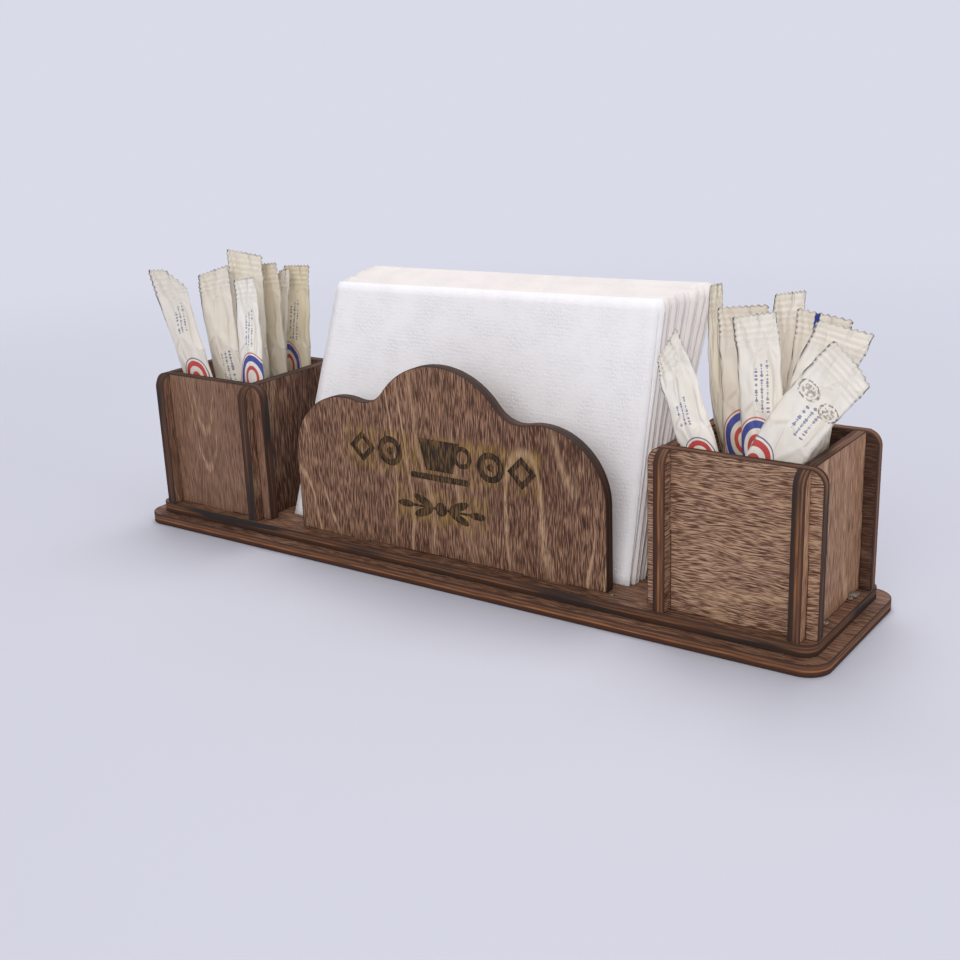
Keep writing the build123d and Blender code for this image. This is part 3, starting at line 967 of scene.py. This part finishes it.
@dataclass
class StickBundle:
    """Fifteen sugar sticks in the two boxes.

    Attributes:
        effects: The shared shader groups.
        width: Width of a flat stick, as every length here in millimetres.
        length: Length of a stick.
        bulge: How far the filling bulges to the front and to the back.
        seal: Length of the flat seal at both ends.
        swell: Lengths over which a stick fills out above the lower and below the upper seal.
        crimp: Height of the corrugation of the seals.
        crimp_pitch: Distance from one wave of it to the next.
        floor_z: Height of the deck that the sticks stand on.
        rim_v: Height on the stick from which it bends.
        sticks: What is folded.
    """

    effects: Effects
    width: float = 17.0
    length: float = 91.0
    bulge: float = 1.95
    seal: float = 9.0
    swell: tuple[float, float] = (14.0, 20.0)
    crimp: float = 0.36
    crimp_pitch: float = 1.7
    floor_z: float = 8.0
    rim_v: float = 46.0
    sticks: tuple[Stick, ...] = field(default_factory=lambda: StickBundle.list_sticks())

    @staticmethod
    def list_sticks() -> tuple[Stick, ...]:
        """Name every stick with its place and print."""
        blue, red, plain, back = Print.BLUE_BAND, Print.RED_BAND, Print.BLANK, Print.BACK
        return (
            Stick("sugar_stick_r1", 98.7, -17.3, 22.3, (141.0, 90.6), 16.2, -42.0,
                  StickPaper(red, 48.5, -5.4, (64.0, 74.5), 1.5, stamped=True), curl=0.8,
                  waist=17.0, cut=1.5),
            Stick("sugar_stick_r2", 111.4, -12.5, -15.4, (83.4, 90.2), 12.0, 58.0,
                  StickPaper(red, 48.5, 1.0, (62.0, 71.0), -1.0), curl=0.4, waist=13.0,
                  rim_shift=-3.6, tip=-4.5),
            Stick("sugar_stick_r3", 114.2, -7.7, -3.5, (107.0, 99.2), 13.8, 12.0,
                  StickPaper(blue, 51.0, -1.5, (63.0, 77.5), 1.0), curl=0.5, waist=15.2),
            Stick("sugar_stick_r4", 104.4, -2.9, 16.0, (132.7, 96.6), 16.8, -11.0,
                  StickPaper(plain), roll=5.0),
            Stick("sugar_stick_r5", 104.5, 1.9, -3.8, (98.8, 99.2), 16.9, 8.0,
                  StickPaper(blue, 50.0, 0.5, (60.0, 60.0), 0.0, (238, 228, 214)), roll=-4.0),
            Stick("sugar_stick_r6", 112.0, 6.7, 6.5, (122.6, 97.8), 16.8, -8.0,
                  StickPaper(Print.TICK, colour=(240, 233, 223))),
            Stick("sugar_stick_r7", 107.0, 11.5, 1.5, (109.6, 102.4), 9.5, 10.0,
                  StickPaper(back, bars_v=(52.0, 64.0), bars_u=1.0), roll=7.0, curl=-0.5,
                  waist=13.0),
            Stick("sugar_stick_r8", 103.5, 16.5, -6.3, (87.5, 104.2), 3.8, 12.0,
                  StickPaper(plain, colour=(236, 226, 208)), roll=8.0, waist=5.0,
                  rim_shift=-7.0, tip=-9.0),
            Stick("sugar_stick_l1", -98.2, -17.0, 0.8, (-93.4, 97.6), 9.8, 10.0,
                  StickPaper(blue, 53.0, 2.5, (66.0, 79.0), 1.0, (246, 241, 234)), roll=6.0,
                  curl=0.6, waist=13.0, rim_shift=2.4, tip=4.0),
            Stick("sugar_stick_l2", -104.3, -11.8, -16.4, (-133.2, 98.8), 18.4, 3.0,
                  StickPaper(red, 49.5, 1.0, (68.0, 78.0), 1.5, (236, 229, 220)), curl=0.4,
                  waist=15.8, rim_shift=-2.0, tip=-4.5, cut=6.5),
            Stick("sugar_stick_l3", -105.0, -6.6, -6.0, (-117.2, 98.1), 16.8, 17.0,
                  StickPaper(back, bars_v=(42.0, 60.0), bars_u=2.5, colour=(238, 231, 220)),
                  roll=3.0, rim_shift=-3.3),
            Stick("sugar_stick_l4", -106.5, -0.2, 0.5, (-106.6, 104.6), 18.8, -5.0,
                  StickPaper(plain, colour=(242, 235, 220)), curl=-0.5),
            Stick("sugar_stick_l5", -98.9, 5.2, -2.5, (-101.6, 99.8), 15.8, 7.0,
                  StickPaper(plain, colour=(232, 222, 204)), roll=-4.0),
            Stick("sugar_stick_l6", -108.0, 10.6, 6.0, (-95.8, 97.2), 5.0, 14.0,
                  StickPaper(plain), roll=12.0, waist=13.5, rim_shift=-2.2),
            Stick("sugar_stick_l7", -99.6, 16.2, 2.2, (-94.4, 98.0), 12.2, 3.0,
                  StickPaper(blue, 50.0, -4.5, (62.0, 77.0), -1.0, (232, 221, 196)), roll=5.0,
                  curl=0.3, waist=13.5),
        )

    def build(self) -> Iterable[bpy.types.Object]:
        """Build each stick as its own piece."""
        for index, stick in enumerate(self.sticks):
            paper = stick.paper.dress("paper_" + stick.name, self.effects)
            piece = self._fold(stick, index, paper)
            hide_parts(stick.name)
            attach(piece, stick.name + "_body")
            yield piece

    def _fold(self, stick: Stick, index: int, paper: bpy.types.Material) -> bpy.types.Object:
        """Fold one stick from a flat double grid, fill it and bend it into place."""
        bm = bmesh.new()
        columns, rows = 16, 150
        bmesh.ops.create_grid(bm, x_segments=columns, y_segments=rows, size=0.5)
        copy = bmesh.ops.duplicate(bm, geom=bm.faces[:])["geom"]
        back_faces = [item for item in copy if isinstance(item, bmesh.types.BMFace)]
        bmesh.ops.reverse_faces(bm, faces=back_faces)
        back = {vert for face in back_faces for vert in face.verts}
        uv_layer = bm.loops.layers.uv.new("paper")
        hidden = set(back_faces)
        for face in bm.faces:
            face.smooth = True
            side_shift = 60.0 if face in hidden else 0.0
            for loop in face.loops:
                flat = loop.vert.co
                along = (flat.y + 0.5) * self.length
                loop[uv_layer].uv = ((flat.x * self.width + side_shift) * MM, along * MM)
        for vert in bm.verts:
            side = 1.0 if vert in back else -1.0
            vert.co = self._place(stick, index, vert.co.x * 2.0, vert.co.y + 0.5, side)
        bmesh.ops.remove_doubles(bm, verts=bm.verts, dist=0.01 * MM)
        bmesh.ops.recalc_face_normals(bm, faces=bm.faces)
        return add_piece("paper_" + stick.name, bm, [paper])

    def _place(self, stick: Stick, index: int, u: float, t: float, side: float) -> Vector:
        """Return where a point of the flat stick ends up.

        Args:
            stick: The stick.
            index: Its number, which moves its creases.
            u: Place across the stick, from -1 to 1.
            t: Place along it, from 0 at the foot to 1 at the head.
            side: -1 for the front sheet and 1 for the back.

        Returns:
            The point in metres.
        """
        v, rise = self._along(stick, u, t)
        middle, heading = self._spine(stick, v, rise)
        # the upper end slopes as given
        cross = Vector((heading.y, -heading.x))
        tilt = math.radians(stick.head_slope)
        slope = Vector((math.cos(tilt), math.sin(tilt)))
        turn = rise ** 3
        across = (cross * (1 - turn) + slope * turn).normalized()
        # the long edges are a little ragged
        border = 3.0 if u > 0 else 9.0
        ragged = 0.6 * noise.noise(Vector((t * 9.0, index * 2.7, border))) * min(1.0, v / 8.0)
        ragged += 0.45 * rise * noise.noise(Vector((t * 26.0, index * 1.7, border)))
        pull = 1.0 - 0.035 * self._fullness(v)
        sideways = u * self._wide(stick, v, rise) / 2.0 * pull + ragged * u * u
        depth = self._depth(stick, index, u, t, side)
        angle = math.radians(stick.roll) * rise
        flat_x = sideways * math.cos(angle) - depth * math.sin(angle)
        flat_y = sideways * math.sin(angle) + depth * math.cos(angle)
        spot = middle + across * flat_x + heading * self._tooth(u, t)
        tipped = stick.tip * min(1.0, v / self.rim_v) ** 3
        y = stick.layer + tipped + flat_y - stick.curl * rise ** 4
        return Vector((spot.x, y, spot.y)) * MM

    def _along(self, stick: Stick, u: float, t: float) -> tuple[float, float]:
        """Return a point's height on the stick, and its share of the part above the rim."""
        v = t * self.length - stick.cut * max(0.0, u - 0.05) * t ** 12
        return v, max(0.0, (v - self.rim_v) / (self.length - self.rim_v))

    def _spine(self, stick: Stick, v: float, rise: float) -> tuple[Vector, Vector]:
        """Return place and heading of the stick's middle line: straight, then bent to its head."""
        lean = math.radians(stick.lean)
        foot = Vector((stick.foot, self.floor_z + self.width / 2.0 * math.sin(abs(lean)) + 0.1))
        axis = Vector((math.sin(lean), math.cos(lean)))
        start = foot + axis * self.rim_v + Vector((stick.rim_shift, 0.0))
        axis = (start - foot).normalized()
        if rise == 0.0:
            return foot.lerp(start, v / self.rim_v), axis
        head = Vector(stick.head)
        bend = start + axis * (head - start).length * 0.45
        middle = start * (1 - rise) ** 2 + bend * (2 * rise * (1 - rise)) + head * rise ** 2
        heading = (bend - start) * (2 * (1 - rise)) + (head - bend) * (2 * rise)
        return middle, heading.normalized()

    def _wide(self, stick: Stick, v: float, rise: float) -> float:
        """Return the width: narrowing to the waist from 0.3 of the way up, then to the head's."""
        if rise > 0.0:
            return stick.waist + (stick.head_width - stick.waist) * rise ** 1.5
        return self.width + (stick.waist - self.width) * max(0.0, v / self.rim_v - 0.3) / 0.7

    def _fullness(self, v: float) -> float:
        """Return how full the stick is at a height: 0 at the seals and 1 in its middle."""
        body = min(max((v - self.seal) / self.swell[0], 0.0), 1.0)
        body *= min(max((self.length - self.seal - v) / self.swell[1], 0.0), 1.0)
        return body * body * (3 - 2 * body)

    def _depth(self, stick: Stick, index: int, u: float, t: float, side: float) -> float:
        """Return how far a point stands out of the stick's middle plane, given as in _place."""
        v, rise = self._along(stick, u, t)
        body = self._fullness(v)
        # the filling bulges, but not along the long edges
        lens = math.sqrt(max(0.0, 1.0 - u * u)) ** 1.15
        dent = 1.0 + 0.28 * noise.noise(Vector((u * 1.4, t * 7.0, index * 3.1 + side)))
        deep = self.bulge * body * lens * dent * (0.94 if rise < 0.5 else 1.0 - 0.35 * (rise - 0.5))
        # the crimped seals are corrugated across, and both sheets follow each other
        edge_v = min(v, self.length - v)
        crimp = 0.0
        if edge_v < self.seal:
            calm = min(1.0, (self.seal - edge_v) / 0.8) * min(1.0, edge_v / 0.3)
            crimp = self.crimp * calm * math.sin(2.0 * math.pi * edge_v / self.crimp_pitch)
        paper = 0.05 * (1.0 - u * u) ** 0.5 if abs(u) < 1 else 0.0
        depth = side * (deep + paper) + crimp
        # the long seam of the sheet stands out on a back
        if stick.paper.marks is Print.BACK and side < 0.0:
            depth -= 0.45 * max(0.0, 1.0 - abs(u - 0.12) / 0.13)
        crease = noise.noise(Vector((u * 2.2, t * 13.0, index * 1.9))) * 0.3 * (0.35 + body)
        fold = abs(noise.noise(Vector((u * 3.0 + t * 5.0, t * 17.0, index * 2.3)))) - 0.2
        crease += fold * 0.35 * (0.3 + rise)
        return depth + crease * (1.0 - abs(u) ** 4) * (1.0 if body > 0 else 0.6)

    @staticmethod
    def _tooth(u: float, t: float) -> float:
        """Return how far the zigzag cut of both ends moves a point along the stick."""
        odd = round((u + 1.0) * 8) % 2
        if t > 0.996:
            return 0.42 if odd else -0.25
        return 0.25 if t < 0.004 and not odd else 0.0


@dataclass
class GlueBeads:
    """Small beads of glue left where the boxes meet the deck.

    Attributes:
        spots: X, Y, Z and radius of each bead.
    """

    spots: tuple[tuple[float, float, float, float], ...] = (
        (129.6, -24.6, 8.4, 1.5), (131.0, -25.2, 8.3, 1.1), (128.3, -25.0, 8.3, 0.9),
        (133.4, -11.2, 8.6, 1.2), (133.2, 12.6, 9.0, 1.7), (133.5, 14.8, 8.4, 1.3),
        (133.2, 10.4, 8.5, 1.0),
        (-85.2, -24.8, 8.2, 0.8), (67.4, -23.4, 8.2, 0.7),
    )

    def build(self) -> bpy.types.Object:
        """Build all beads as one piece."""
        bm = bmesh.new()
        for index, (x, y, z, radius) in enumerate(self.spots):
            made = bmesh.ops.create_icosphere(bm, subdivisions=3, radius=radius * MM)["verts"]
            for vert in made:
                wobble = 1.0 + 0.2 * noise.noise(vert.co * 900.0 + Vector((index * 4.0, 0, 0)))
                vert.co *= wobble
                vert.co.z *= 0.55
            bmesh.ops.translate(bm, verts=made, vec=Vector((x, y, z)) * MM)
        for face in bm.faces:
            face.smooth = True
        piece = add_piece("glue_beads", bm, [HotGlue().dress("hot_glue")])
        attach(piece, "caddy")
        return piece


@dataclass
class Studio:
    """Plain pale table, soft light and the camera.

    Attributes:
        table_colour: Colour of the table near the object.
        far_colour: Colour of the even backdrop that it fades into.
        fade: Distances from the object between which it fades, in metres.
        lens: Focal length of the camera.
        place: Place of the camera.
        yaw: Turn of the camera to the left of +Y, in degrees.
        pitch: Tilt of the camera downwards, in degrees.
        roll: Roll of the camera, in degrees.
        shift: Shift of the camera's lens.
    """

    table_colour: tuple[int, int, int] = (198, 199, 211)
    far_colour: tuple[int, int, int] = (217, 219, 233)
    fade: tuple[float, float] = (0.28, 0.75)
    lens: float = 50.247
    place: tuple[float, float, float] = (264.91, -368.29, 176.34)
    yaw: float = 35.44
    pitch: float = 17.88
    roll: float = -2.209
    shift: tuple[float, float] = (-0.00517, -0.00114)

    def build(self) -> None:
        """Set up everything round the object."""
        self._table()
        self._lights()
        self._camera()
        scene = bpy.context.scene
        scene.view_settings.view_transform = "Standard"

    def _table(self) -> None:
        """Make a seamless table that rises into a backdrop, coved along one side."""
        bm = bmesh.new()
        profile = [Vector((0, -2.2, 0)), Vector((0, 2.4, 0))]
        radius = 0.9
        for step in range(1, 17):
            angle = math.radians(step * 90 / 16)
            out, rise = radius * math.sin(angle), radius * (1 - math.cos(angle))
            profile.append(Vector((0, 2.4 + out, rise)))
        profile.append(Vector((0, 3.3, 4.0)))
        verts = [bm.verts.new(point - Vector((3.6, 0, 0))) for point in profile]
        edges = [bm.edges.new(pair) for pair in zip(verts, verts[1:])]
        moved = bmesh.ops.extrude_edge_only(bm, edges=edges)["geom"]
        far = [item for item in moved if isinstance(item, bmesh.types.BMVert)]
        bmesh.ops.translate(bm, verts=far, vec=(7.2, 0, 0))
        turn = Matrix.Rotation(math.radians(self.yaw), 3, "Z")
        bmesh.ops.rotate(bm, verts=bm.verts, cent=(0, 0, 0), matrix=turn)
        bmesh.ops.recalc_face_normals(bm, faces=bm.faces)
        for face in bm.faces:
            face.smooth = True
        made, g, shader = new_material("pale_table")
        place = g.node("ShaderNodeTexCoord").outputs["Object"]
        soft = g.noise(place, 2.0, 0.5, 3.0)
        g.fill(shader, Base_Color=g.mix(soft, tint(*self.table_colour), tint(201, 202, 214)),
               Roughness=0.55, Specular_IOR_Level=0.2)
        # far from the caddy the table fades into an even pale backdrop
        glow = g.fill(g.node("ShaderNodeEmission"), Color=tint(*self.far_colour))
        reach = g.node("ShaderNodeVectorMath", operation="LENGTH")
        g.put(reach.inputs[0], place)
        path = g.node("ShaderNodeLightPath")
        seen = g.math("MAXIMUM", path.outputs["Is Camera Ray"], path.outputs["Is Glossy Ray"])
        seen = g.math("MAXIMUM", seen, path.outputs["Is Transmission Ray"])
        fade = g.node("ShaderNodeMixShader")
        share = g.product(seen, g.span(reach.outputs["Value"], *self.fade))
        for index, value in enumerate((share, shader.outputs[0], glow.outputs[0])):
            g.put(fade.inputs[index], value)
        g.put(made.node_tree.nodes["Material Output"].inputs["Surface"], fade.outputs[0])
        table = add_piece("table", bm, [made])

    def _lamp(self, name: str, place: tuple[float, float, float], size: float, power: float,
              colour: tuple[float, float, float]) -> None:
        """Hang one square soft lamp that looks at the object."""
        lamp = bpy.data.lights.new(name, "AREA")
        lamp.shape = "SQUARE"
        lamp.size = size
        lamp.energy = power
        lamp.color = colour
        hung = bpy.data.objects.new(name, lamp)
        hung.location = place
        gaze = Vector((0, 0, 0.03)) - Vector(place)
        hung.rotation_euler = gaze.to_track_quat("-Z", "Y").to_euler()
        bpy.context.scene.collection.objects.link(hung)

    def _lights(self) -> None:
        """Light the object softly from above, front and left."""
        world = bpy.data.worlds.new("studio")
        bpy.context.scene.world = world
        world.use_nodes = True
        ground = world.node_tree.nodes["Background"]
        ground.inputs["Color"].default_value = (0.95, 0.96, 1.0, 1.0)
        ground.inputs["Strength"].default_value = 0.49
        self._lamp("lamp_top", (-0.2, 0.5, 1.4), 0.9, 13.5, (1.0, 0.985, 0.97))
        self._lamp("lamp_front", (0.45, -1.5, 0.85), 1.2, 13.0, (1.0, 0.99, 0.97))
        self._lamp("lamp_side", (1.4, 0.0, 0.5), 0.7, 2.8, (1.0, 0.99, 0.97))

    def _camera(self) -> None:
        """Place the camera at its height, turn and tilt."""
        yaw, pitch, roll = (math.radians(a) for a in (self.yaw, self.pitch, self.roll))
        level = math.cos(pitch)
        ahead = Vector((-math.sin(yaw) * level, math.cos(yaw) * level, -math.sin(pitch)))
        right = Vector((math.cos(yaw), math.sin(yaw), 0.0))
        up = right.cross(ahead)
        turn = Matrix((right * math.cos(roll) + up * math.sin(roll),
                       up * math.cos(roll) - right * math.sin(roll), -ahead)).transposed()
        data = bpy.data.cameras.new("camera")
        data.lens = self.lens
        data.sensor_width = 36.0
        data.shift_x, data.shift_y = self.shift
        data.clip_start, data.clip_end = 0.01, 30.0
        camera = bpy.data.objects.new("camera", data)
        camera.matrix_world = Matrix.Translation(Vector(self.place) * MM) @ turn.to_4x4()
        bpy.context.scene.collection.objects.link(camera)
        bpy.context.scene.camera = camera


def report(pieces: Iterable[bpy.types.Object]) -> None:
    """Log each piece as it is made."""
    for piece in pieces:
        LOG.info("%s: %d triangles", piece.name, count_triangles(piece))


def main() -> None:
    """Load the frame and build the caddy, its contents and the studio."""
    logging.basicConfig(level=logging.INFO, format="%(message)s")
    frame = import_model()
    effects = Effects()
    report(Woodwork(effects).build(frame["nodes"]))
    report(NapkinStack().build())
    report(StickBundle(effects).build())
    report([GlueBeads().build()])
    Studio().build()


if __name__ == "__main__":
    main()
